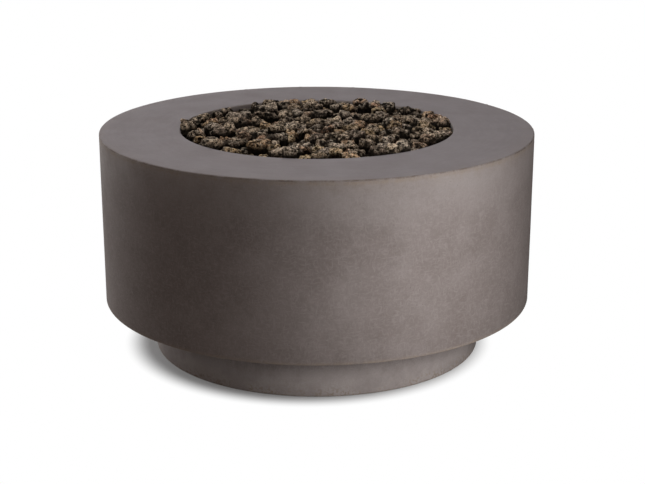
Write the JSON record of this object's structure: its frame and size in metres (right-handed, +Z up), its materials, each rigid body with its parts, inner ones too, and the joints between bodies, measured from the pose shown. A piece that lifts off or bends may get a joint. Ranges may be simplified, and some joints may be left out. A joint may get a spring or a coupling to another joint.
{
  "type": "concrete fire bowl",
  "caption": "Round concrete gas fire bowl: a drum with a wide flat rim on a set-back plinth, its opening filled with lava rock over a burner.",
  "frame": {"origin": "on the floor, under the middle of the drum", "axes": "+Z up along the drum's axis, -Y to the front as pictured, +Y to the key at the back"},
  "size_m": [1.067, 1.0666, 0.5585],
  "materials": {
    "concrete": "cast, smooth and mottled, matt",
    "galvanised_steel": "zinc grey, dull",
    "zinc_fasteners": "zinc plated",
    "stainless_steel": "brushed",
    "black_iron": "black oxide",
    "brass": "machined",
    "ball_chrome": "polished",
    "seat_plastic": "white",
    "seal_rubber": "black",
    "gasket_fibre": "woven fibre",
    "key_chrome": "satin",
    "lava_rock": "porous and rough",
    "foot_steel": "zinc plated"
  },
  "bodies": {
    "bowl": {"drum_shell": "concrete", "plinth_ring": "concrete", "floor_plate": "galvanised_steel", "drum_brackets": "galvanised_steel", "pan_support_ring": "galvanised_steel", "valve_bracket": "galvanised_steel", "wall_bolts": "zinc_fasteners", "bracket_bolts": "zinc_fasteners", "plinth_bolts": "zinc_fasteners", "rim_bolts": "zinc_fasteners", "valve_bracket_bolts": "zinc_fasteners", "wall_inserts": "zinc_fasteners", "plinth_inserts": "zinc_fasteners", "rim_inserts": "zinc_fasteners", "valve_bracket_inserts": "zinc_fasteners", "levelling_inserts": "zinc_fasteners", "burner_pan": "stainless_steel", "burner_ring": "stainless_steel", "burner_saddles": "stainless_steel", "gas_feed_pipe": "stainless_steel", "escutcheon": "stainless_steel", "escutcheon_screws": "stainless_steel", "inlet_nipple": "black_iron", "gas_elbow": "black_iron", "pan_locknuts": "black_iron", "valve_body": "brass", "valve_end_cap": "brass", "gland_nut": "brass", "pipe_nuts": "brass", "gas_orifice": "brass", "key_sleeve": "brass", "ball_seats": "seat_plastic", "escutcheon_plugs": "seat_plastic", "heat_gasket": "gasket_fibre", "lava_fill": "lava_rock", "lava_rocks": "lava_rock"},
    "valve_core": {"valve_stem": "brass", "valve_ball": "ball_chrome", "stem_seal": "seal_rubber"},
    "key": {"gas_key": "key_chrome"},
    "foot_1": {"levelling_foot_1": "foot_steel"},
    "foot_2": {"levelling_foot_2": "foot_steel"},
    "foot_3": {"levelling_foot_3": "foot_steel"},
    "foot_4": {"levelling_foot_4": "foot_steel"}
  },
  "joints": [
    {"name": "valve_turn", "type": "hinge", "parent": "bowl", "child": "valve_core", "pos_m": [0, 0.275, 0.075], "axis": [0, 1, 0], "range_deg": [0, 90]},
    {"name": "key_pull", "type": "slide", "parent": "valve_core", "child": "key", "axis": [0, 1, 0], "range_m": [0, 0.095]},
    {"name": "foot_1_screw", "type": "slide", "parent": "bowl", "child": "foot_1", "axis": [0, 0, -1], "range_m": [0, 0.015]},
    {"name": "foot_2_screw", "type": "slide", "parent": "bowl", "child": "foot_2", "axis": [0, 0, -1], "range_m": [0, 0.015]},
    {"name": "foot_3_screw", "type": "slide", "parent": "bowl", "child": "foot_3", "axis": [0, 0, -1], "range_m": [0, 0.015]},
    {"name": "foot_4_screw", "type": "slide", "parent": "bowl", "child": "foot_4", "axis": [0, 0, -1], "range_m": [0, 0.015]}
  ]
}
